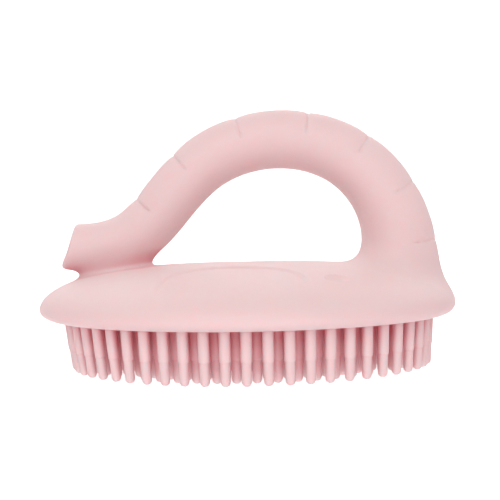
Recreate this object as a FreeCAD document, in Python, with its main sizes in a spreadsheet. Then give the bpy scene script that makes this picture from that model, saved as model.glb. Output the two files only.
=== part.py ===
"""Hand-held rubber curry brush with a trunk-shaped arch handle, a domed oval cover and stepped pins.

Frame: millimetres, +X from the trunk's tip to its root, +Y across, +Z up.
The origin is the bottom centre of the brush as it stands on its pins.
"""

import FreeCAD
import Part
import Sketcher
import math
import os

X_AXIS = FreeCAD.Vector(1, 0, 0)
Y_AXIS = FreeCAD.Vector(0, 1, 0)
Z_AXIS = FreeCAD.Vector(0, 0, 1)

doc = FreeCAD.newDocument("curry_brush")
sheet = doc.addObject("Spreadsheet::Sheet", "sizes")

DRIVING_SIZES = {
    # cover
    "cover_length": 133.2,
    "cover_width": 107.0,
    "crest_height": 33.3,
    "waist_height": 19.3,
    "rim_radius": 6.5,
    "lip_height": 15.9,
    # pocket under the cover, for the bristle sheet and the core plate
    "lip_opening_length": 120.6,
    "lip_opening_width": 98.0,
    "field_shift": 0.4,
    # bristle sheet and pins
    "sheet_underside": 17.2,
    "sheet_thickness": 2.8,
    "sheet_tuck": 1.3,
    "pin_root_radius": 1.53,
    "pin_tip_radius": 1.35,
    "pin_step_height": 7.0,
    "pin_rooting": 1.0,
    "ring_length": 115.5,
    "ring_width": 92.4,
    "ring_spacing": 5.3,
    "pin_pitch": 6.0,
    "lean_left": 2.5,
    "lean_right": 0.9,
    "lean_side": 0.9,
    # core plate
    "plate_length": 117.0,
    "plate_width": 88.0,
    "plate_thickness": 3.0,
    # handle core
    "core_radius": 4.6,
    "foot_radius": 6.8,
    "foot_thickness": 2.6,
    "left_foot_place": -41.0,
    "right_foot_place": 49.5,
    # screws
    "screw_radius": 1.45,
    "screw_length": 12.0,
    "screw_head_radius": 2.9,
    "screw_head_depth": 1.7,
    # neck that joins the snout to the cover
    "neck_place": -42.5,
    "neck_length": 24.0,
    "neck_width": 13.0,
    "neck_base": 24.0,
    "neck_top": 38.0,
    # saddle cut in the snout's end
    "snout_cut_radius": 24.0,
    "snout_cut_place_x": -78.7,
    "snout_cut_place_z": 48.7,
}

# Trunk stations from the snout's end to the root inside the cover: name, x, z and radius.
TRUNK_STATIONS = [
    ("end", -63.0, 39.2, 7.3),
    ("snout", -51.0, 38.9, 7.5),
    ("bend", -36.5, 41.8, 8.6),
    ("rise", -26.5, 51.2, 8.7),
    ("shoulder", -13.4, 64.7, 9.1),
    ("arch", 11.0, 72.35, 9.4),
    ("fall", 33.7, 65.8, 9.9),
    ("back", 45.4, 52.5, 11.0),
    ("root", 50.0, 36.0, 12.3),
    ("seat", 50.8, 24.5, 12.2),
]

# Corners of the handle core's path between its two feet: x, z and the radius that rounds each.
CORE_CORNERS = [
    (-41.0, 35.8, 26.0),
    (-7.5, 71.7, 34.5),
    (31.7, 72.4, 32.5),
    (49.5, 46.3, 23.0),
]


def fill_sheet():
    """Write the driving sizes into the spreadsheet, one named cell each."""
    sizes = dict(DRIVING_SIZES)
    for name, place_x, place_z, radius in TRUNK_STATIONS:
        sizes[f"trunk_{name}_x"] = place_x
        sizes[f"trunk_{name}_z"] = place_z
        sizes[f"trunk_{name}_radius"] = radius
    for row, (name, value) in enumerate(sizes.items(), start=1):
        sheet.set(f"A{row}", name)
        sheet.set(f"B{row}", str(value))
        sheet.setAlias(f"B{row}", name)
    doc.recompute()


def size(name):
    """Read one size from the spreadsheet."""
    return float(sheet.get(name))


def bind(feature, **expressions):
    """Bind properties of a feature to spreadsheet expressions."""
    for name, expression in expressions.items():
        feature.setExpression(name.replace("__", "."), expression)
    return feature


def add(kind, name, **properties):
    """Add a document object and set its plain properties."""
    feature = doc.addObject(kind, name)
    for key, value in properties.items():
        setattr(feature, key, value)
    return feature


def cylinder(name, radius, height, x="0", z="0"):
    """An upright cylinder whose sizes and place are expressions."""
    feature = add("Part::Cylinder", name)
    return bind(feature, Radius=radius, Height=height, Placement__Base__x=x, Placement__Base__z=z)


def oval_pad(name, length, width, thickness, x, z):
    """An upright elliptical pad whose sizes and place are expressions."""
    outline = add("Part::Ellipse", name + "_outline")
    bind(outline, MajorRadius=f"({length}) / 2", MinorRadius=f"({width}) / 2")
    bind(outline, Placement__Base__x=x, Placement__Base__z=z)
    pad = add("Part::Extrusion", name, Base=outline, DirMode="Custom", Dir=Z_AXIS, Solid=True)
    return bind(pad, LengthFwd=thickness)


def trunk_line():
    """The trunk's centreline, a smooth curve through the stations."""
    points = [
        FreeCAD.Vector(size(f"trunk_{name}_x"), 0, size(f"trunk_{name}_z"))
        for name, *_ in TRUNK_STATIONS
    ]
    curve = Part.BSplineCurve()
    curve.interpolate(points)
    return curve


def make_trunk():
    """The trunk as a loft through one circle at each station, square to the centreline."""
    line = trunk_line()
    circles = []
    for name, *_ in TRUNK_STATIONS:
        circle = add("Part::Circle", f"trunk_{name}_section")
        bind(circle, Radius=f"sizes.trunk_{name}_radius")
        place = FreeCAD.Vector(size(f"trunk_{name}_x"), 0, size(f"trunk_{name}_z"))
        along = FreeCAD.Vector(*line.tangent(line.parameter(place))[0])
        facing = FreeCAD.Rotation(Y_AXIS, along.cross(Y_AXIS), along, "ZXY")
        circle.Placement = FreeCAD.Placement(place, facing)
        circles.append(circle)
    return add("Part::Loft", "trunk", Sections=circles, Solid=True, Ruled=False)


def make_cover():
    """The domed oval cover: a round dome turned from two tangent arcs, then stretched along X."""
    body = doc.addObject("PartDesign::Body", "round_cover")
    profile = body.newObject("Sketcher::SketchObject", "cover_profile")
    profile.AttachmentSupport = [(f, "") for f in body.Origin.OriginFeatures if f.Role == "XZ_Plane"]
    profile.MapMode = "FlatFace"

    rim_radius = size("rim_radius")
    crest, waist, lip = size("crest_height"), size("waist_height"), size("lip_height")
    rim_place = size("cover_width") / 2 - rim_radius
    rise = crest - waist
    dome_radius = (rise ** 2 + rim_place ** 2 - rim_radius ** 2) / (2 * (rise - rim_radius))
    meeting_angle = math.atan2(dome_radius - rise, rim_place)
    lip_angle = math.asin((lip - waist) / rim_radius)
    lip_place = rim_place + rim_radius * math.cos(lip_angle)
    dome_centre = FreeCAD.Vector(0, crest - dome_radius, 0)
    rim_centre = FreeCAD.Vector(rim_place, waist, 0)

    dome, rim, base, axis = profile.addGeometry(
        [
            Part.ArcOfCircle(Part.Circle(dome_centre, Z_AXIS, dome_radius), meeting_angle, math.pi / 2),
            Part.ArcOfCircle(Part.Circle(rim_centre, Z_AXIS, rim_radius), lip_angle, meeting_angle),
            Part.LineSegment(FreeCAD.Vector(lip_place, lip, 0), FreeCAD.Vector(0, lip, 0)),
            Part.LineSegment(FreeCAD.Vector(0, lip, 0), FreeCAD.Vector(0, crest, 0)),
        ],
        False,
    )
    start, end, centre = 1, 2, 3
    sketch_origin, upright_axis = (-1, 1), -2
    profile.addConstraint(
        [
            Sketcher.Constraint("Tangent", rim, end, dome, start),
            Sketcher.Constraint("Coincident", rim, start, base, start),
            Sketcher.Constraint("Coincident", base, end, axis, start),
            Sketcher.Constraint("Coincident", axis, end, dome, end),
            Sketcher.Constraint("Horizontal", base),
            Sketcher.Constraint("PointOnObject", dome, centre, upright_axis),
            Sketcher.Constraint("PointOnObject", base, end, upright_axis),
            Sketcher.Constraint("PointOnObject", axis, end, upright_axis),
        ]
    )
    rim_place_rule = "sizes.cover_width / 2 - sizes.rim_radius"
    limits = [
        ("Radius", (rim,), "sizes.rim_radius", rim_radius),
        ("DistanceX", (*sketch_origin, rim, centre), rim_place_rule, rim_place),
        ("DistanceY", (*sketch_origin, rim, centre), "sizes.waist_height", waist),
        ("DistanceY", (*sketch_origin, base, end), "sizes.lip_height", lip),
        ("DistanceY", (*sketch_origin, axis, end), "sizes.crest_height", crest),
    ]
    for kind, places, expression, value in limits:
        index = profile.addConstraint(Sketcher.Constraint(kind, *places, value))
        profile.setExpression(f"Constraints[{index}]", expression)

    turned = body.newObject("PartDesign::Revolution", "cover_turned")
    turned.Profile = profile
    turned.ReferenceAxis = (profile, ["V_Axis"])
    doc.recompute()
    cover = add("Part::Scale", "cover", Base=body, Uniform=False)
    return bind(cover, XScale="sizes.cover_length / sizes.cover_width")


def rounded_path(points, radii):
    """A wire of straight runs through points, with an arc of the given radius at each inner point."""
    edges = []
    start = points[0]
    for before, corner, after, radius in zip(points, points[1:], points[2:], radii):
        towards = (before - corner).normalize()
        onward = (after - corner).normalize()
        half_angle = towards.getAngle(onward) / 2
        arc_start = corner + towards * (radius / math.tan(half_angle))
        arc_end = corner + onward * (radius / math.tan(half_angle))
        middle = (towards + onward).normalize()
        arc_middle = corner + middle * (radius / math.sin(half_angle) - radius)
        edges.append(Part.LineSegment(start, arc_start).toShape())
        edges.append(Part.Arc(arc_start, arc_middle, arc_end).toShape())
        start = arc_end
    edges.append(Part.LineSegment(start, points[-1]).toShape())
    return Part.Wire(edges)


def make_handle_core():
    """The rigid arch inside the trunk: a bent rod on two round feet."""
    foot_level = "sizes.sheet_underside + sizes.sheet_thickness + sizes.plate_thickness"
    base = size("sheet_underside") + size("sheet_thickness") + size("plate_thickness")
    left_end = FreeCAD.Vector(size("left_foot_place"), 0, base)
    right_end = FreeCAD.Vector(size("right_foot_place"), 0, base)
    corners = [FreeCAD.Vector(x, 0, z) for x, z, _ in CORE_CORNERS]
    path = rounded_path([left_end, *corners, right_end], [radius for _, _, radius in CORE_CORNERS])
    spine = add("Part::Feature", "handle_core_spine", Shape=path)
    profile = bind(add("Part::Circle", "handle_core_profile"), Radius="sizes.core_radius")
    profile.Placement.Base = left_end
    runs = [f"Edge{number}" for number in range(1, len(path.Edges) + 1)]
    rod = add("Part::Sweep", "handle_core_rod", Sections=[profile], Spine=(spine, runs), Solid=True)
    feet = [
        cylinder(
            f"{side}_foot",
            "sizes.foot_radius",
            "sizes.foot_thickness",
            f"sizes.{side}_foot_place",
            foot_level,
        )
        for side in ("left", "right")
    ]
    body = add("Part::MultiFuse", "handle_core_body", Shapes=[rod, *feet])
    holes = [
        cylinder(
            f"{side}_pilot_hole",
            "sizes.screw_radius",
            "sizes.screw_length - sizes.plate_thickness",
            f"sizes.{side}_foot_place",
            foot_level,
        )
        for side in ("left", "right")
    ]
    pilots = add("Part::Compound", "pilot_holes", Links=holes)
    return add("Part::Cut", "handle_core", Base=body, Tool=pilots)


def make_screw(name, side):
    """A countersunk screw from under the core plate up into one foot."""
    level = "sizes.sheet_underside + sizes.sheet_thickness"
    place = f"sizes.{side}_foot_place"
    shank = cylinder(f"{name}_shank", "sizes.screw_radius", "sizes.screw_length", place, level)
    head = add("Part::Cone", f"{name}_head")
    bind(head, Radius1="sizes.screw_head_radius", Radius2="sizes.screw_radius")
    bind(head, Height="sizes.screw_head_depth")
    bind(head, Placement__Base__x=place, Placement__Base__z=level)
    return add("Part::MultiFuse", name, Shapes=[shank, head])


def make_core_plate(screws):
    """The rigid oval plate over the bristle sheet, with countersunk screw holes."""
    blank = oval_pad(
        "core_plate_blank",
        "sizes.plate_length",
        "sizes.plate_width",
        "sizes.plate_thickness",
        "sizes.field_shift",
        "sizes.sheet_underside + sizes.sheet_thickness",
    )
    return add("Part::Cut", "core_plate", Base=blank, Tool=screws)


def make_bristle_sheet():
    """The flexible oval sheet behind the pins; its edge tucks behind the cover's lip."""
    return oval_pad(
        "bristle_sheet",
        "sizes.lip_opening_length + 2 * sizes.sheet_tuck",
        "sizes.lip_opening_width + 2 * sizes.sheet_tuck",
        "sizes.sheet_thickness",
        "sizes.field_shift",
        "sizes.sheet_underside",
    )


def make_grip_shell(trunk, cover, core_plate_blank, bristle_sheet, handle_core_body):
    """The soft cover and trunk in one moulding, hollow where the cores and the bristle sheet sit."""
    neck = oval_pad(
        "neck",
        "sizes.neck_length",
        "sizes.neck_width",
        "sizes.neck_top - sizes.neck_base",
        "sizes.neck_place",
        "sizes.neck_base",
    )
    outside = add("Part::MultiFuse", "grip_shell_outside", Shapes=[cover, trunk, neck])
    mouth = oval_pad(
        "lip_opening",
        "sizes.lip_opening_length",
        "sizes.lip_opening_width",
        "sizes.sheet_underside - sizes.lip_height + 1",
        "sizes.field_shift",
        "sizes.lip_height - 1",
    )
    saddle = cylinder(
        "snout_saddle",
        "sizes.snout_cut_radius",
        "4 * sizes.trunk_end_radius",
        "sizes.snout_cut_place_x",
        "sizes.snout_cut_place_z",
    )
    saddle.Placement.Rotation = FreeCAD.Rotation(X_AXIS, 90)
    bind(saddle, Placement__Base__y="2 * sizes.trunk_end_radius")
    hollow = add(
        "Part::MultiFuse",
        "grip_shell_hollow",
        Shapes=[mouth, bristle_sheet, core_plate_blank, handle_core_body, saddle],
    )
    return add("Part::Cut", "grip_shell", Base=outside, Tool=hollow)


def straight_pin():
    """One upright stepped pin, its round end centred on the origin, that reaches into the sheet."""
    root, tip = size("pin_root_radius"), size("pin_tip_radius")
    step = size("pin_step_height") - tip
    top = size("sheet_underside") + size("pin_rooting") - tip
    diagonal = tip * math.sqrt(0.5)
    tip_arc = Part.Arc(
        FreeCAD.Vector(0, 0, -tip), FreeCAD.Vector(diagonal, 0, -diagonal), FreeCAD.Vector(tip, 0, 0)
    )
    outline = [(tip, 0), (tip, step), (root, step), (root, top), (0, top), (0, -tip)]
    edges = [
        Part.LineSegment(FreeCAD.Vector(x0, 0, z0), FreeCAD.Vector(x1, 0, z1)).toShape()
        for (x0, z0), (x1, z1) in zip(outline, outline[1:])
    ]
    face = Part.Face(Part.Wire([tip_arc.toShape(), *edges]))
    return face.revolve(FreeCAD.Vector(0, 0, 0), Z_AXIS, 360)


def ring_roots(inset, stagger):
    """An even number of equally spaced pin roots, on the oval that lies inset from the outer ring."""
    centre = FreeCAD.Vector(size("field_shift"), 0, size("sheet_underside"))
    half_length = size("ring_length") / 2 - inset
    half_width = size("ring_width") / 2 - inset
    edge = Part.Ellipse(centre, half_length, half_width).toShape()
    count = 2 * round(edge.Length / size("pin_pitch") / 2)
    start = edge.Length / 4
    along = [(start + edge.Length * (k + stagger) / count) % edge.Length for k in range(count)]
    return [edge.valueAt(edge.getParameterByLength(length)) for length in along]


def lean(offset, reach, most):
    """How far a pin's tip stands inward of its root, growing towards the edge of the field."""
    return -math.copysign(most * (abs(offset) / reach) ** 1.5, offset)


def make_pins():
    """Rings of pins from the edge to the middle, each leaning inward from its root to its tip."""
    blank = straight_pin()
    pins = []
    inset = 0.0
    stagger = 0.0
    while size("ring_width") / 2 - inset > size("pin_root_radius"):
        for root in ring_roots(inset, stagger):
            offset = root.x - size("field_shift")
            most = size("lean_left") if offset < 0 else size("lean_right")
            tip = FreeCAD.Vector(
                root.x + lean(offset, size("ring_length") / 2, most),
                root.y + lean(root.y, size("ring_width") / 2, size("lean_side")),
                size("pin_tip_radius"),
            )
            pin = blank.copy()
            pin.Placement = FreeCAD.Placement(tip, FreeCAD.Rotation(Z_AXIS, root - tip))
            pins.append(pin)
        inset += size("ring_spacing")
        stagger = 0.5 - stagger
    return add("Part::Feature", "pins", Shape=Part.makeCompound(pins))


def check_and_export(parts):
    """Stop on any failed object or bad shape, then write one STEP file for each sub-part."""
    doc.recompute()
    failed = [o.Name for o in doc.Objects if {"Invalid", "Error"} & set(o.State)]
    if failed:
        raise RuntimeError(f"failed objects: {failed}")
    os.makedirs("parts", exist_ok=True)
    for name, part in parts.items():
        part.Label = name
        shape = part.Shape
        if shape.isNull() or not shape.isValid() or not shape.Solids:
            raise RuntimeError(f"{name} is not a valid solid")
        shape.exportStep(f"parts/{name}.step")
        print(name, len(shape.Solids), "solids", round(shape.Volume / 1000, 2), "cm3", shape.BoundBox)


fill_sheet()
trunk = make_trunk()
cover = make_cover()
handle_core = make_handle_core()
screws = [make_screw("left_screw", "left"), make_screw("right_screw", "right")]
core_screws = add("Part::Compound", "core_screws", Links=screws)
core_plate = make_core_plate(core_screws)
bristle_sheet = make_bristle_sheet()
grip_shell = make_grip_shell(
    trunk, cover, doc.getObject("core_plate_blank"), bristle_sheet, doc.getObject("handle_core_body")
)
bristle_pad = add("Part::Fuse", "bristle_pad", Base=bristle_sheet, Tool=make_pins())

check_and_export(
    {
        "grip_shell": grip_shell,
        "handle_core": handle_core,
        "core_plate": core_plate,
        "core_screws": core_screws,
        "bristle_pad": bristle_pad,
    }
)
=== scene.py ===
"""Looks for the rubber curry brush: the soft shell with its trunk, the pad of stepped pins, a plain studio.

The shell is one field: a function of place that is below zero inside and above zero outside. It is meshed
on a fine grid and settled onto its own surface. The pad is a sheet with every pin as its own closed peg.
Shapes are worked out in millimetres in the model's own frame, and become metres when a mesh is made.
+X runs from the snout to the trunk's root, +Z is up, and the near side is at -Y.
"""

import math

import bpy
import numpy as np
import openvdb
from mathutils import Matrix, Vector


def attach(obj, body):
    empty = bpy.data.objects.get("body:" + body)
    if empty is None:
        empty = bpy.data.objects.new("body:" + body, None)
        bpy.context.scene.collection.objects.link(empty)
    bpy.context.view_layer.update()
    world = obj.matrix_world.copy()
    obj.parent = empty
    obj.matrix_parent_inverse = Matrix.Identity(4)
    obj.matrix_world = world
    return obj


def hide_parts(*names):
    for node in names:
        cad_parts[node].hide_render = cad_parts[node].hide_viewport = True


MM = 0.001

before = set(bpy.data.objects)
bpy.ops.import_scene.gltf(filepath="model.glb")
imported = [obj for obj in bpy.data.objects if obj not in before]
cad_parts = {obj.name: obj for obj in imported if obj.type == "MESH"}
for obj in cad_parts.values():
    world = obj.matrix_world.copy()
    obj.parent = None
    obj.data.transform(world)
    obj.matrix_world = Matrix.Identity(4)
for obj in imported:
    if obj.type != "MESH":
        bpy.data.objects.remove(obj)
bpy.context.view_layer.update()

# ---------------------------------------------------------------- driving sizes, in millimetres

# The head: a dome above the waist, and below it a lip that reaches further inward at the snout's end.
HEAD_HALF_LENGTH = 66.7
HEAD_HALF_WIDTH = 53.4
CREST_HEIGHT = 33.0
WAIST_HEIGHT = 19.3
LIP_HEIGHT = 15.7
LIP_REACH = 5.5
LIP_SLANT = 1.3
HEAD_PLAN_POWER = 1.95
HEAD_SIDE_POWER = 2.0
HEAD_END_POWER = 3.0

# Fillets: between the neck and the trunk, then between those two and the head. The head's grows towards
# the root over one stretch of x, and shrinks again over another, outside the root.
NECK_FILLET = 2.2
HEAD_FILLET = 1.6
ROOT_FILLET_GROWTH = 8.0
ROOT_FILLET_STRETCH = (-10, 30)
OUTER_FILLET_LOSS = 3.0
OUTER_FILLET_STRETCH = (46, 58)

# Trunk stations from beyond the snout's end to inside the head: x, z and radius.
TRUNK_STATIONS = [
    (-68.0, 40.15, 7.6),
    (-52.0, 38.8, 7.6),
    (-37.0, 41.6, 8.7),
    (-26.5, 51.2, 8.9),
    (-13.4, 64.7, 9.1),
    (11.0, 72.35, 9.4),
    (33.7, 65.8, 9.9),
    (45.4, 52.5, 10.75),
    (50.0, 36.0, 11.85),
    (50.8, 22.0, 12.1),
]

# Wrinkles across the trunk's back: x and z on the back, and depth.
WRINKLES = [
    (-34.5, 53.6, 0.50),
    (-23.0, 67.6, 0.46),
    (-2.7, 78.8, 0.42),
    (20.5, 79.6, 0.42),
    (39.6, 72.3, 0.38),
    (53.2, 57.5, 0.32),
    (60.5, 39.3, 0.28),
]
WRINKLE_HALF_WIDTH = 0.75
WRINKLE_DIP = 0.70
WRINKLE_DIP_WIDTH = 2.6
WRINKLE_FADE = (0.10, 0.34)

# The scoop in the snout's end: x, z and radius of the drum that cuts it, and the rounding of its edge.
SNOUT_CUT = (-77.1, 46.9, 21.9)
SNOUT_TOP_ROUNDING = 1.4
SNOUT_LIP_ROUNDING = 3.0
SNOUT_ROUNDING_HEIGHTS = (42, 34)

# The short neck between the snout's underside and the head.
NECK_CENTRE_X = -42.4
NECK_HALF_LENGTH = 11.7
NECK_HALF_WIDTH = 6.0
NECK_TOP = 37.0
NECK_START_ABOVE_LIP = 4

# Ear and eye on each side: x, and distance from the middle plane.
EAR_CENTRE = (-4.0, 39.0)
EAR_HALF_LENGTH = 22.5
EAR_HALF_WIDTH = 23.5
EAR_DEPTH = 0.60
EAR_LIP_WIDTH = 1.6
EAR_FADE = (32.0, 49.0)
EYE_CENTRE = (26.5, 32.0)
EYE_RADIUS = 3.5
EYE_DEPTH = 1.2

# The bristle sheet, the mouth that it shows through, and the core plate's pocket behind it.
FIELD_SHIFT = 0.4
SHEET_UNDERSIDE = 17.2
SHEET_THICKNESS = 2.8
SHEET_HALF_LENGTH = 61.6
SHEET_HALF_WIDTH = 50.3
MOUTH_HALF_LENGTH = 60.3
MOUTH_HALF_WIDTH = 49.0
PLATE_HALF_LENGTH = 58.5
PLATE_HALF_WIDTH = 44.0
PLATE_THICKNESS = 3.0
POCKET_SIDE_GAP = 0.2
POCKET_GAP = 0.1
MOUTH_BOTTOM = -10
MOUTH_OVERLAP = 0.5
MOUTH_ROUNDING = 0.5

# The pins stand in oval rings, evenly spaced. Lean is how far a tip stands inward of its root at each end
# and side; the phase turns each ring by that share of a pitch.
PIN_ROOT_RADIUS = 1.64
PIN_TIP_RADIUS = 1.44
PIN_STEP_HEIGHT = 7.0
RING_HALF_LENGTH = 57.75
RING_HALF_WIDTH = 46.2
RING_SPACING = 5.3
PIN_PITCH = 6.0
RING_PHASE = -0.13
LEAN_LEFT = 2.5
LEAN_RIGHT = 0.9
LEAN_SIDE = 0.9
LEAN_POWER = 1.5
PIN_SCATTER = 0.10
PIN_BOW = 0.06
PIN_SIDES = 18
SHEET_SIDES = 96

# The grid that the shell is meshed on, and how far flat cells may merge.
VOXEL = 0.5
VOXEL_MERGING = 0.004
GRID_MARGIN = 2
GRID_TOP = 84

# ---------------------------------------------------------------- colours, and studio sizes in metres

SILICONE_DEEP = (0.858, 0.684, 0.684)
SILICONE_PALE = (0.868, 0.696, 0.696)
# Painted shade: the silicone's colour is multiplied down towards this deep rose where the surface is
# sheltered within the reach below.
PAINTED_CREVICE_SHADE = (0.86, 0.27, 0.35)
PAINTED_SHADE_REACH = 0.008
PAINTED_SHADE_SHELTER = (0.10, 0.68)

CAMERA_TARGET = (0.0012, 0.0, 0.0368)
CAMERA_DISTANCE = 0.317
CAMERA_RISE = math.radians(1.8)
CAMERA_ROLL = math.radians(1.15)
CAMERA_LENS = 70.4

SKY_LOW = (0.24, 0.07, 0.09)
SKY_HIGH = (0.83, 0.775, 0.77)
SKY_FRONT = (1.42, 1.50, 1.50)
SKY_RISE = (0.0, 0.5)
FRONT_GLOW_CENTRE = (0.0, -0.52, -0.854)
FRONT_GLOW_EDGE = (0.56, 0.97)
FLOOR_GLOW = 0.85
BACKDROP_GLOW = 0.75
KEY_PLACE = (-0.10, -0.88, 0.58)
KEY_TARGET = (0.0, 0.0, 0.04)
KEY_SIZE = 0.8
KEY_POWER = 2.95
STAGE_SIDES = 96
FLOOR_HOLE = 0.001
FLOOR_RADIUS = 2.0
BACKDROP_BEND = 1.0
BACKDROP_TOP = 3.5


# ---------------------------------------------------------------- small maths helpers

def spline_through(values, knots, places):
    """A natural cubic spline through values at knots, read at places."""
    values = np.asarray(values, float)
    gaps = np.diff(knots)
    count = len(knots)
    matrix = np.eye(count)
    right = np.zeros(count)
    for k in range(1, count - 1):
        matrix[k, k - 1: k + 2] = gaps[k - 1], 2 * (gaps[k - 1] + gaps[k]), gaps[k]
        right[k] = 6 * ((values[k + 1] - values[k]) / gaps[k] - (values[k] - values[k - 1]) / gaps[k - 1])
    bend = np.linalg.solve(matrix, right)
    index = np.clip(np.searchsorted(knots, places) - 1, 0, count - 2)
    gap = gaps[index]
    after = (places - knots[index]) / gap
    before = 1 - after
    cubic = ((before ** 3 - before) * bend[index] + (after ** 3 - after) * bend[index + 1]) * gap ** 2 / 6
    return before * values[index] + after * values[index + 1] + cubic


def smoothstep(start, end, value):
    """0 before start, 1 past end, and an even curve between them; end may be the smaller."""
    share = np.clip((value - start) / (end - start), 0, 1)
    return share * share * (3 - 2 * share)


def soft_join(a, b, reach):
    """The union of two fields, with a fillet that reaches that far."""
    share = np.clip(0.5 + 0.5 * (b - a) / reach, 0, 1)
    return b + (a - b) * share - reach * share * (1 - share)


def soft_cut(body, tool, reach):
    """Body less tool, with its edge rounded that far."""
    return -soft_join(-body, tool, reach)


def unit(vectors):
    """Vectors made one long."""
    return vectors / np.linalg.norm(vectors, axis=-1, keepdims=True)


def oval_radius(x, y, half_length, half_width, power=2.0):
    """1 on the oval, below 1 inside it."""
    return (np.abs(x / half_length) ** power + np.abs(y / half_width) ** power) ** (1 / power)


def oval_prism(x, y, z, centre_x, half_length, half_width, low, high):
    """The field of an upright oval prism."""
    radius = oval_radius(x - centre_x, y, half_length, half_width)
    side = (radius - 1) * min(half_length, half_width)
    return np.maximum(side, np.maximum(low - z, z - high))


# ---------------------------------------------------------------- the trunk's line

class TrunkLine:
    """The trunk's centreline in the X-Z plane, sampled finely, with its radius and its wrinkles."""

    samples = 500

    def __init__(self):
        stations = np.array(TRUNK_STATIONS)
        knots = np.concatenate([[0], np.cumsum(np.hypot(*np.diff(stations[:, :2], axis=0).T))])
        places = np.linspace(0, knots[-1], self.samples)
        self.x, self.z, self.radius = (spline_through(stations[:, k], knots, places) for k in range(3))
        self.along = np.concatenate([[0], np.cumsum(np.hypot(np.diff(self.x), np.diff(self.z)))])
        step_x, step_z = np.gradient(self.x), np.gradient(self.z)
        length = np.hypot(step_x, step_z)
        self.step_x, self.step_z = step_x / length, step_z / length
        backs = np.array([(x, z) for x, z, _ in WRINKLES])
        self.wrinkle_places = self.locate(backs[:, 0], backs[:, 1])[0]

    def locate(self, x, z):
        """For points x, z: place along the line, offset towards the back, and reach past the ends."""
        x, z = np.broadcast_arrays(x, z)
        flat_x, flat_z = x.ravel(), z.ravel()
        nearest = np.empty(flat_x.size, int)
        chunk = 20000
        for start in range(0, flat_x.size, chunk):
            part = slice(start, start + chunk)
            gap_x = flat_x[part, None] - self.x
            gap_z = flat_z[part, None] - self.z
            nearest[part] = np.argmin(gap_x * gap_x + gap_z * gap_z, axis=1)
        nearest = nearest.reshape(x.shape)
        gap_x = x - self.x[nearest]
        gap_z = z - self.z[nearest]
        past = gap_x * self.step_x[nearest] + gap_z * self.step_z[nearest]
        offset = gap_z * self.step_x[nearest] - gap_x * self.step_z[nearest]
        beyond = np.where((nearest == 0) | (nearest == self.samples - 1), past, 0)
        return self.along[nearest] + past, offset, beyond


TRUNK = TrunkLine()


def trunk_field(x, y, z):
    """The trunk: a tube of changing radius, with wrinkles across its back and a scooped end."""
    place, offset, beyond = TRUNK.locate(x, z)
    radius = np.interp(place, TRUNK.along, TRUNK.radius)
    across = np.hypot(offset, y)
    towards_back = offset / np.maximum(across, 1e-6)
    on_back = smoothstep(*WRINKLE_FADE, towards_back)
    wrinkled = 0.0
    for centre, (_, _, depth) in zip(TRUNK.wrinkle_places, WRINKLES):
        gap = np.abs(place - centre)
        cut = np.clip(1 - gap / WRINKLE_HALF_WIDTH, 0, 1) ** 1.5
        dip = np.exp(-(gap / WRINKLE_DIP_WIDTH) ** 2)
        wrinkled = wrinkled + depth * (cut + WRINKLE_DIP * dip)
    tube = np.hypot(across, beyond) - radius + wrinkled * on_back
    cut_x, cut_z, cut_radius = SNOUT_CUT
    scoop = np.hypot(x - cut_x, z - cut_z) - cut_radius
    lowness = smoothstep(*SNOUT_ROUNDING_HEIGHTS, z)
    rounding = SNOUT_TOP_ROUNDING + (SNOUT_LIP_ROUNDING - SNOUT_TOP_ROUNDING) * lowness
    return soft_cut(tube, scoop, rounding)


# ---------------------------------------------------------------- the head

def head_field(x, y, z):
    """The domed oval head: a superelliptic dome above the waist and a lip that tapers in below it."""
    radius = np.maximum(oval_radius(x, y, HEAD_HALF_LENGTH, HEAD_HALF_WIDTH, HEAD_PLAN_POWER), 1e-3)
    reach = np.maximum(np.hypot(x, y), 1e-3) / radius
    endwise = (x / HEAD_HALF_LENGTH) ** 2 / radius ** 2
    power = HEAD_SIDE_POWER + (HEAD_END_POWER - HEAD_SIDE_POWER) * np.clip(endwise, 0, 1)
    rise = CREST_HEIGHT - WAIST_HEIGHT
    height = np.maximum(z - WAIST_HEIGHT, 0) / rise
    value = radius ** power + height ** 2 - 1
    slope = np.hypot(power * radius ** (power - 1) / reach, 2 * height / rise)
    dome = value / np.maximum(slope, 0.02)
    drop = WAIST_HEIGHT - LIP_HEIGHT
    lip_reach = LIP_REACH - LIP_SLANT * np.clip(x / HEAD_HALF_LENGTH, -1, 1)
    inset = (radius - 1) * reach + lip_reach
    lip = np.hypot(np.maximum(inset, 0) * drop / lip_reach, WAIST_HEIGHT - z) - drop
    return np.where(z > WAIST_HEIGHT, dome, lip)


def ear_depth(x, y):
    """How deep the ear dish is: a crisp lip at its far side, fading out towards the rim."""
    centre_x, centre_y = EAR_CENTRE
    radius = oval_radius(x - centre_x, np.abs(y) - centre_y, EAR_HALF_LENGTH, EAR_HALF_WIDTH)
    inside = (1 - radius) * EAR_HALF_LENGTH
    fade = 1 - smoothstep(*EAR_FADE, np.abs(y))
    return EAR_DEPTH * smoothstep(0, EAR_LIP_WIDTH, inside) * fade


def eye_depth(x, y):
    """How deep the round eye dimple is."""
    centre_x, centre_y = EYE_CENTRE
    radius = np.hypot(x - centre_x, np.abs(y) - centre_y) / EYE_RADIUS
    return EYE_DEPTH * np.clip(1 - radius ** 2, 0, 1) ** 0.8


def neck_field(x, y, z):
    """The short web between the snout's underside and the head."""
    radius = oval_radius(x - NECK_CENTRE_X, y, NECK_HALF_LENGTH, NECK_HALF_WIDTH)
    start = LIP_HEIGHT + NECK_START_ABOVE_LIP
    return np.maximum((radius - 1) * NECK_HALF_WIDTH, np.maximum(z - NECK_TOP, start - z))


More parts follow.
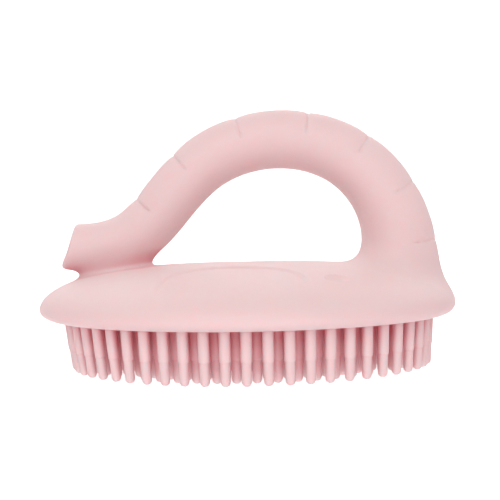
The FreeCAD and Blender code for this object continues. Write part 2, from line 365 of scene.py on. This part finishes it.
def outside_field(x, y, z):
    """The shell's outer skin."""
    head = head_field(x, y, z) + np.where(z > WAIST_HEIGHT, ear_depth(x, y) + eye_depth(x, y), 0)
    trunk = np.maximum(trunk_field(x, y, z), WAIST_HEIGHT - z)
    fillet = (
        HEAD_FILLET
        + ROOT_FILLET_GROWTH * smoothstep(*ROOT_FILLET_STRETCH, x)
        - OUTER_FILLET_LOSS * smoothstep(*OUTER_FILLET_STRETCH, x)
    )
    body = soft_join(trunk, neck_field(x, y, z), NECK_FILLET)
    return soft_join(body, head, fillet)


def shell_field(x, y, z):
    """The shell with its mouth and its pockets for the pad and the core plate."""
    outside = outside_field(x, y, z)
    sheet_top = SHEET_UNDERSIDE + SHEET_THICKNESS
    mouth = oval_prism(
        x, y, z, FIELD_SHIFT, MOUTH_HALF_LENGTH, MOUTH_HALF_WIDTH,
        MOUTH_BOTTOM, SHEET_UNDERSIDE + MOUTH_OVERLAP,
    )
    pocket = oval_prism(
        x, y, z, FIELD_SHIFT, SHEET_HALF_LENGTH + POCKET_SIDE_GAP, SHEET_HALF_WIDTH + POCKET_SIDE_GAP,
        SHEET_UNDERSIDE - POCKET_GAP, sheet_top + POCKET_GAP,
    )
    plate_pocket = oval_prism(
        x, y, z, FIELD_SHIFT, PLATE_HALF_LENGTH + POCKET_SIDE_GAP, PLATE_HALF_WIDTH + POCKET_SIDE_GAP,
        sheet_top, sheet_top + PLATE_THICKNESS + POCKET_GAP,
    )
    hollow = np.minimum(np.minimum(mouth, pocket), plate_pocket)
    return soft_cut(outside, hollow, MOUTH_ROUNDING)


# ---------------------------------------------------------------- meshes

def make_piece(name, points, faces, node):
    """A smooth mesh object made of points in millimetres, which stands for a CAD node."""
    mesh = bpy.data.meshes.new(name)
    mesh.from_pydata((np.asarray(points) * MM).tolist(), [], faces)
    mesh.validate()
    mesh.shade_smooth()
    piece = bpy.data.objects.new(name, mesh)
    bpy.context.scene.collection.objects.link(piece)
    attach(piece, "root")
    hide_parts(node)
    return piece


def field_slope(field, points, step=0.05):
    """The field and its unit gradient at points."""
    x, y, z = points.T
    gradient = np.stack(
        [
            field(x + step, y, z) - field(x - step, y, z),
            field(x, y + step, z) - field(x, y - step, z),
            field(x, y, z + step) - field(x, y, z - step),
        ],
        axis=1,
    ) / (2 * step)
    return field(x, y, z), gradient


def make_shell():
    """The soft shell, meshed from its field and settled onto it."""
    low = np.array([-HEAD_HALF_LENGTH - GRID_MARGIN, 0, LIP_HEIGHT - GRID_MARGIN])
    high = np.array([HEAD_HALF_LENGTH + GRID_MARGIN, HEAD_HALF_WIDTH + GRID_MARGIN, GRID_TOP])
    counts = np.ceil((high - low) / VOXEL).astype(int)
    x = (low[0] + VOXEL * np.arange(counts[0]))[:, None, None]
    y = (VOXEL * (np.arange(counts[1]) + 0.5))[None, :, None]
    z = (low[2] + VOXEL * np.arange(counts[2]))[None, None, :]
    half = shell_field(x, y, z).astype(np.float32)
    whole = np.concatenate([half[:, ::-1], half], axis=1)
    band = 3 * VOXEL
    grid = openvdb.FloatGrid(band)
    grid.copyFromArray(np.clip(whole, -band, band))
    points, triangles, quads = grid.convertToPolygons(isovalue=0.0, adaptivity=VOXEL_MERGING)
    origin = np.array([low[0], VOXEL * (0.5 - counts[1]), low[2]])
    points = origin + points.astype(float) * VOXEL
    for _ in range(2):
        value, gradient = field_slope(shell_field, points)
        size = np.maximum((gradient ** 2).sum(axis=1), 0.25)
        move = np.clip(value / size, -0.3, 0.3)[:, None] * gradient
        points = points - move
    shell = make_piece("grip_shell_soft", points, triangles.tolist() + quads.tolist(), "grip_shell")
    shell.data.normals_split_custom_set_from_vertices(unit(field_slope(shell_field, points)[1]).tolist())
    return shell


def ring_roots(inset, stagger):
    """Pin roots on the oval that lies inset from the outer ring, evenly spaced and even in number."""
    turns = np.linspace(0, 2 * math.pi, 1441)
    x = (RING_HALF_LENGTH - inset) * np.cos(turns)
    y = (RING_HALF_WIDTH - inset) * np.sin(turns)
    along = np.concatenate([[0], np.cumsum(np.hypot(np.diff(x), np.diff(y)))])
    around = along[-1]
    count = 2 * round(around / PIN_PITCH / 2)
    places = (around / 4 + around * (np.arange(count) + stagger + RING_PHASE) / count) % around
    return np.stack([np.interp(places, along, x), np.interp(places, along, y)], axis=1)


def pin_places():
    """Roots and tips of all the pins, from the outer ring inward."""
    rings = []
    inset = 0.0
    stagger = 0.0
    while RING_HALF_WIDTH - inset > PIN_ROOT_RADIUS:
        rings.append(ring_roots(inset, stagger))
        inset += RING_SPACING
        stagger = 0.5 - stagger
    roots = np.concatenate(rings)
    share_x = roots[:, 0] / RING_HALF_LENGTH
    share_y = roots[:, 1] / RING_HALF_WIDTH
    most = np.where(share_x < 0, LEAN_LEFT, LEAN_RIGHT)
    tips = roots.copy()
    tips[:, 0] -= np.sign(share_x) * most * np.abs(share_x) ** LEAN_POWER
    tips[:, 1] -= np.sign(share_y) * LEAN_SIDE * np.abs(share_y) ** LEAN_POWER
    tips += np.random.default_rng(5).normal(0, PIN_SCATTER, tips.shape)
    roots[:, 0] += FIELD_SHIFT
    tips[:, 0] += FIELD_SHIFT
    return roots, tips


def pin_profile():
    """Height above the tip and radius of each ring round a pin: round end, step, shank and root fillet."""
    turns = np.radians([24, 47, 68, 90])
    profile = [(PIN_TIP_RADIUS * (1 - math.cos(a)), PIN_TIP_RADIUS * math.sin(a)) for a in turns]
    profile += [
        (PIN_STEP_HEIGHT * 0.6, PIN_TIP_RADIUS),
        (PIN_STEP_HEIGHT, PIN_TIP_RADIUS),
        (PIN_STEP_HEIGHT, PIN_ROOT_RADIUS - 0.03),
        (PIN_STEP_HEIGHT + 0.05, PIN_ROOT_RADIUS),
        (12.0, PIN_ROOT_RADIUS + 0.02),
        (SHEET_UNDERSIDE - 0.9, PIN_ROOT_RADIUS + 0.04),
        (SHEET_UNDERSIDE - 0.3, PIN_ROOT_RADIUS + 0.22),
        (SHEET_UNDERSIDE + 0.3, PIN_ROOT_RADIUS + 0.50),
    ]
    return np.array(profile)


def make_pins():
    """Points and faces of all the pins, each a closed stepped peg that leans and bows a little."""
    roots, tips = pin_places()
    profile = pin_profile()
    share = (profile[:, 0] / SHEET_UNDERSIDE)[None, :, None]
    foot = np.concatenate([tips, np.zeros((len(tips), 1))], axis=1)[:, None, :]
    head = np.concatenate([roots, np.full((len(roots), 1), SHEET_UNDERSIDE)], axis=1)[:, None, :]
    lean = head - foot
    sideways = lean * (1, 1, 0)
    line = foot + lean * share + sideways * PIN_BOW * 4 * share * (1 - share)
    along = unit(lean + sideways * PIN_BOW * 4 * (1 - 2 * share))
    across = unit(np.cross(along, (0, 1, 0)))
    beside = np.cross(along, across)
    turns = 2 * math.pi * np.arange(PIN_SIDES) / PIN_SIDES
    circle = across[:, :, None] * np.cos(turns)[:, None] + beside[:, :, None] * np.sin(turns)[:, None]
    rings = line[:, :, None] + circle * profile[:, 1][:, None, None]
    pins, levels = rings.shape[:2]
    poles = np.stack([foot[:, 0], line[:, -1]], axis=1)
    per_pin = levels * PIN_SIDES + 2
    points = np.concatenate([rings.reshape(pins, -1, 3), poles], axis=1).reshape(-1, 3)
    low_pole, high_pole = levels * PIN_SIDES, levels * PIN_SIDES + 1
    faces = []
    for k in range(PIN_SIDES):
        after = (k + 1) % PIN_SIDES
        faces.append((low_pole, after, k))
        faces.append((high_pole, (levels - 1) * PIN_SIDES + k, (levels - 1) * PIN_SIDES + after))
        for level in range(levels - 1):
            base = level * PIN_SIDES
            faces.append((base + k, base + after, base + PIN_SIDES + after, base + PIN_SIDES + k))
    all_faces = [tuple(i + pin * per_pin for i in face) for pin in range(pins) for face in faces]
    return points, all_faces


def make_sheet():
    """Points and faces of the oval sheet that the pins stand on, with a rounded edge."""
    top = SHEET_UNDERSIDE + SHEET_THICKNESS
    edge = SHEET_THICKNESS / 2
    profile = [(0.35, SHEET_UNDERSIDE, 0), (0.7, SHEET_UNDERSIDE, 0), (1.0, SHEET_UNDERSIDE, -edge)]
    for turn in np.radians([-60, -30, 0, 30, 60]):
        profile.append((1.0, SHEET_UNDERSIDE + edge + edge * math.sin(turn), edge * (math.cos(turn) - 1)))
    profile += [(1.0, top, -edge), (0.7, top, 0), (0.35, top, 0)]
    turns = 2 * math.pi * np.arange(SHEET_SIDES) / SHEET_SIDES
    points = []
    for share, height, inset in profile:
        x = FIELD_SHIFT + (SHEET_HALF_LENGTH * share + inset) * np.cos(turns)
        y = (SHEET_HALF_WIDTH * share + inset) * np.sin(turns)
        points.append(np.stack([x, y, np.full(SHEET_SIDES, height)], axis=1))
    points.append([(FIELD_SHIFT, 0, SHEET_UNDERSIDE), (FIELD_SHIFT, 0, top)])
    low_pole = len(profile) * SHEET_SIDES
    faces = []
    for k in range(SHEET_SIDES):
        after = (k + 1) % SHEET_SIDES
        last = (len(profile) - 1) * SHEET_SIDES
        faces.append((low_pole, after, k))
        faces.append((low_pole + 1, last + k, last + after))
        for level in range(len(profile) - 1):
            base = level * SHEET_SIDES
            faces.append((base + k, base + after, base + SHEET_SIDES + after, base + SHEET_SIDES + k))
    return np.concatenate(points), faces


def make_pad():
    """The soft pad: the sheet and all its pins in one piece."""
    sheet_points, sheet_faces = make_sheet()
    pin_points, pin_faces = make_pins()
    shift = len(sheet_points)
    faces = sheet_faces + [tuple(i + shift for i in face) for face in pin_faces]
    pad = make_piece("bristle_pad_soft", np.concatenate([sheet_points, pin_points]), faces, "bristle_pad")
    pad.data.set_sharp_from_angle(angle=math.radians(50))
    return pad


# ---------------------------------------------------------------- materials

def node_maker(tree):
    """A helper that adds a node to tree, sets its values and links its sockets."""

    def node(kind, links=(), **values):
        made = tree.nodes.new(kind)
        for key, value in values.items():
            if hasattr(made, key):
                setattr(made, key, value)
            else:
                made.inputs[key.replace("_", " ")].default_value = value
        for socket, source in dict(links).items():
            tree.links.new(source, made.inputs[socket])
        return made

    return node


def new_material(name):
    """A material with its node tree, its shader, and a helper that adds linked nodes."""
    material = bpy.data.materials.new(name)
    material.use_nodes = True
    tree = material.node_tree
    return material, tree, tree.nodes["Principled BSDF"], node_maker(tree)


def ramp(made, stops):
    """Sets a colour ramp's stops: place and colour."""
    elements = made.color_ramp.elements
    while len(elements) < len(stops):
        elements.new(0.5)
    for element, (place, colour) in zip(elements, stops):
        element.position = place
        element.color = (*colour, 1)
    return made


def silicone_material():
    """Matte pink silicone rubber: a slight colour drift, painted shade of deep rose in sheltered places, a
    fine moulded grain and light that spreads inside."""
    material, tree, shader, node = new_material("pink_silicone")
    places = node("ShaderNodeTexCoord").outputs["Object"]
    drift = node("ShaderNodeTexNoise", {"Vector": places}, Scale=55.0, Detail=3.0, Roughness=0.55)
    tint = ramp(
        node("ShaderNodeValToRGB", {"Fac": drift.outputs["Fac"]}),
        [(0.35, SILICONE_DEEP), (0.65, SILICONE_PALE)],
    )
    deep, open_to_light = PAINTED_SHADE_SHELTER
    # Painted shade: the base colour is darkened towards deep rose where nearby surfaces shelter it. It
    # stands in for shade and rosy bounce light in creases and between the pins.
    shelter = node("ShaderNodeAmbientOcclusion", samples=6, Distance=PAINTED_SHADE_REACH)
    painted_shade = ramp(
        node("ShaderNodeValToRGB", {"Fac": shelter.outputs["AO"]}),
        [(deep, PAINTED_CREVICE_SHADE), (open_to_light, (1.0, 1.0, 1.0))],
    )
    colour = node("ShaderNodeVectorMath", operation="MULTIPLY")
    tree.links.new(tint.outputs["Color"], colour.inputs[0])
    tree.links.new(painted_shade.outputs["Color"], colour.inputs[1])
    tree.links.new(colour.outputs["Vector"], shader.inputs["Base Color"])
    rough = node("ShaderNodeTexNoise", {"Vector": places}, Scale=900.0, Detail=2.0)
    spread = node("ShaderNodeMapRange", {"Value": rough.outputs["Fac"]})
    spread.inputs["To Min"].default_value = 0.50
    spread.inputs["To Max"].default_value = 0.62
    tree.links.new(spread.outputs["Result"], shader.inputs["Roughness"])
    grain = node("ShaderNodeTexNoise", {"Vector": places}, Scale=2600.0, Detail=2.0, Roughness=0.6)
    bump = node("ShaderNodeBump", {"Height": grain.outputs["Fac"]}, Strength=0.10, Distance=0.00006)
    tree.links.new(bump.outputs["Normal"], shader.inputs["Normal"])
    shader.inputs["Subsurface Weight"].default_value = 0.8
    shader.inputs["Subsurface Radius"].default_value = (1.0, 0.30, 0.33)
    shader.inputs["Subsurface Scale"].default_value = 0.003
    shader.inputs["Specular IOR Level"].default_value = 0.8
    return material


def plastic_material():
    """Plain white moulded polypropylene for the hidden cores."""
    material, tree, shader, node = new_material("white_polypropylene")
    places = node("ShaderNodeTexCoord").outputs["Object"]
    cloud = node("ShaderNodeTexNoise", {"Vector": places}, Scale=80.0, Detail=3.0)
    tint = ramp(
        node("ShaderNodeValToRGB", {"Fac": cloud.outputs["Fac"]}),
        [(0.3, (0.74, 0.74, 0.70)), (0.7, (0.82, 0.82, 0.79))],
    )
    tree.links.new(tint.outputs["Color"], shader.inputs["Base Color"])
    grain = node("ShaderNodeTexNoise", {"Vector": places}, Scale=1500.0, Detail=2.0)
    bump = node("ShaderNodeBump", {"Height": grain.outputs["Fac"]}, Strength=0.15, Distance=0.00005)
    tree.links.new(bump.outputs["Normal"], shader.inputs["Normal"])
    shader.inputs["Roughness"].default_value = 0.42
    return material


def steel_material():
    """Turned stainless steel for the hidden screws."""
    material, tree, shader, node = new_material("stainless_steel")
    places = node("ShaderNodeTexCoord").outputs["Object"]
    turned = node("ShaderNodeTexWave", {"Vector": places}, bands_direction="Z", Scale=900.0, Distortion=1.5)
    tint = ramp(
        node("ShaderNodeValToRGB", {"Fac": turned.outputs["Fac"]}),
        [(0.2, (0.50, 0.50, 0.51)), (0.8, (0.62, 0.62, 0.63))],
    )
    tree.links.new(tint.outputs["Color"], shader.inputs["Base Color"])
    bump = node("ShaderNodeBump", {"Height": turned.outputs["Fac"]}, Strength=0.2, Distance=0.00004)
    tree.links.new(bump.outputs["Normal"], shader.inputs["Normal"])
    shader.inputs["Metallic"].default_value = 1.0
    shader.inputs["Roughness"].default_value = 0.32
    return material


def pale_material(name, glow):
    """A plain pale surface with a faint mottle and a little light of its own."""
    material, tree, shader, node = new_material(name)
    places = node("ShaderNodeTexCoord").outputs["Object"]
    mottle = node("ShaderNodeTexNoise", {"Vector": places}, Scale=6.0, Detail=2.0)
    tint = ramp(
        node("ShaderNodeValToRGB", {"Fac": mottle.outputs["Fac"]}),
        [(0.3, (0.965, 0.965, 0.965)), (0.7, (0.975, 0.975, 0.975))],
    )
    tree.links.new(tint.outputs["Color"], shader.inputs["Base Color"])
    shader.inputs["Roughness"].default_value = 0.9
    shader.inputs["Emission Color"].default_value = (1, 1, 1, 1)
    shader.inputs["Emission Strength"].default_value = glow
    return material


def dress(piece, material):
    """Gives a piece its material."""
    piece.data.materials.clear()
    piece.data.materials.append(material)


# ---------------------------------------------------------------- studio

def make_camera():
    """The camera, low and close on the brush's near side, turned a little about its own line of sight."""
    data = bpy.data.cameras.new("camera")
    data.lens = CAMERA_LENS
    data.sensor_width = 36.0
    data.clip_start = 0.01
    camera = bpy.data.objects.new("camera", data)
    bpy.context.scene.collection.objects.link(camera)
    back = Vector((0, -math.cos(CAMERA_RISE), math.sin(CAMERA_RISE)))
    camera.location = Vector(CAMERA_TARGET) + back * CAMERA_DISTANCE
    turn = (-back).to_track_quat("-Z", "Y").to_matrix().to_4x4()
    camera.rotation_euler = (turn @ Matrix.Rotation(-CAMERA_ROLL, 4, "Z")).to_euler()
    bpy.context.scene.camera = camera


def make_key_light():
    """A square soft light above and behind the camera, aimed at the brush."""
    data = bpy.data.lights.new("key", "AREA")
    data.size = KEY_SIZE
    data.energy = KEY_POWER
    light = bpy.data.objects.new("key", data)
    bpy.context.scene.collection.objects.link(light)
    light.location = KEY_PLACE
    aim = Vector(KEY_TARGET) - light.location
    light.rotation_euler = aim.to_track_quat("-Z", "Y").to_euler()
    light.visible_camera = False


def make_stage_piece(name, profile, material):
    """A round stage piece turned from a profile of radius and height; light from the surround passes it."""
    turns = 2 * math.pi * np.arange(STAGE_SIDES) / STAGE_SIDES
    points = [
        (radius * math.cos(turn), radius * math.sin(turn), height)
        for radius, height in profile
        for turn in turns
    ]
    faces = []
    for level in range(len(profile) - 1):
        base = level * STAGE_SIDES
        for k in range(STAGE_SIDES):
            after = (k + 1) % STAGE_SIDES
            faces.append((base + k, base + after, base + STAGE_SIDES + after, base + STAGE_SIDES + k))
    mesh = bpy.data.meshes.new(name)
    mesh.from_pydata(points, [], faces)
    mesh.shade_smooth()
    mesh.materials.append(material)
    piece = bpy.data.objects.new(name, mesh)
    bpy.context.scene.collection.objects.link(piece)
    piece.visible_diffuse = False
    piece.visible_shadow = False


def make_surround():
    """Soft light from all round: bright above, bright from the floor in front, and dim and rosy below."""
    world = bpy.data.worlds.new("surround")
    world.use_nodes = True
    tree = world.node_tree
    node = node_maker(tree)
    toward = node("ShaderNodeTexCoord").outputs["Generated"]
    parts = node("ShaderNodeSeparateXYZ", {"Vector": toward})
    rise_from, rise_to = SKY_RISE
    height = ramp(
        node("ShaderNodeValToRGB", {"Fac": parts.outputs["Z"]}),
        [(rise_from, SKY_LOW), (rise_to, SKY_HIGH)],
    )
    frontward = node("ShaderNodeVectorMath", operation="DOT_PRODUCT")
    tree.links.new(toward, frontward.inputs[0])
    frontward.inputs[1].default_value = FRONT_GLOW_CENTRE
    edge_outside, edge_inside = FRONT_GLOW_EDGE
    front = ramp(
        node("ShaderNodeValToRGB", {"Fac": frontward.outputs["Value"]}),
        [(edge_outside, (0.0, 0.0, 0.0)), (edge_inside, SKY_FRONT)],
    )
    front.color_ramp.interpolation = "EASE"
    total = node("ShaderNodeVectorMath", operation="ADD")
    tree.links.new(height.outputs["Color"], total.inputs[0])
    tree.links.new(front.outputs["Color"], total.inputs[1])
    tree.links.new(total.outputs["Vector"], tree.nodes["Background"].inputs["Color"])
    bpy.context.scene.world = world


def make_studio():
    """A pale floor in a pale round backdrop, the soft surround and a soft key light.

    The floor is a ring whose tiny hole is hidden under the brush.
    """
    floor = [(FLOOR_HOLE, 0), (FLOOR_RADIUS / 2, 0), (FLOOR_RADIUS, 0)]
    make_stage_piece("floor", floor, pale_material("pale_floor", FLOOR_GLOW))
    backdrop = [
        (FLOOR_RADIUS + BACKDROP_BEND * math.sin(turn), BACKDROP_BEND * (1 - math.cos(turn)))
        for turn in np.radians(np.arange(0, 91, 10))
    ]
    backdrop.append((FLOOR_RADIUS + BACKDROP_BEND, BACKDROP_TOP))
    make_stage_piece("backdrop", backdrop, pale_material("pale_backdrop", BACKDROP_GLOW))
    make_surround()
    make_key_light()
    bpy.context.scene.view_settings.view_transform = "Standard"


# ---------------------------------------------------------------- the scene

make_camera()
shell = make_shell()
pad = make_pad()
silicone = silicone_material()
dress(shell, silicone)
dress(pad, silicone)
plastic = plastic_material()
steel = steel_material()
for name, material, slot in [
    ("handle_core", plastic, "white_polypropylene"),
    ("core_plate", plastic, "white_polypropylene"),
    ("core_screws", steel, "stainless_steel"),
]:
    dress(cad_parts[name], material)
make_studio()
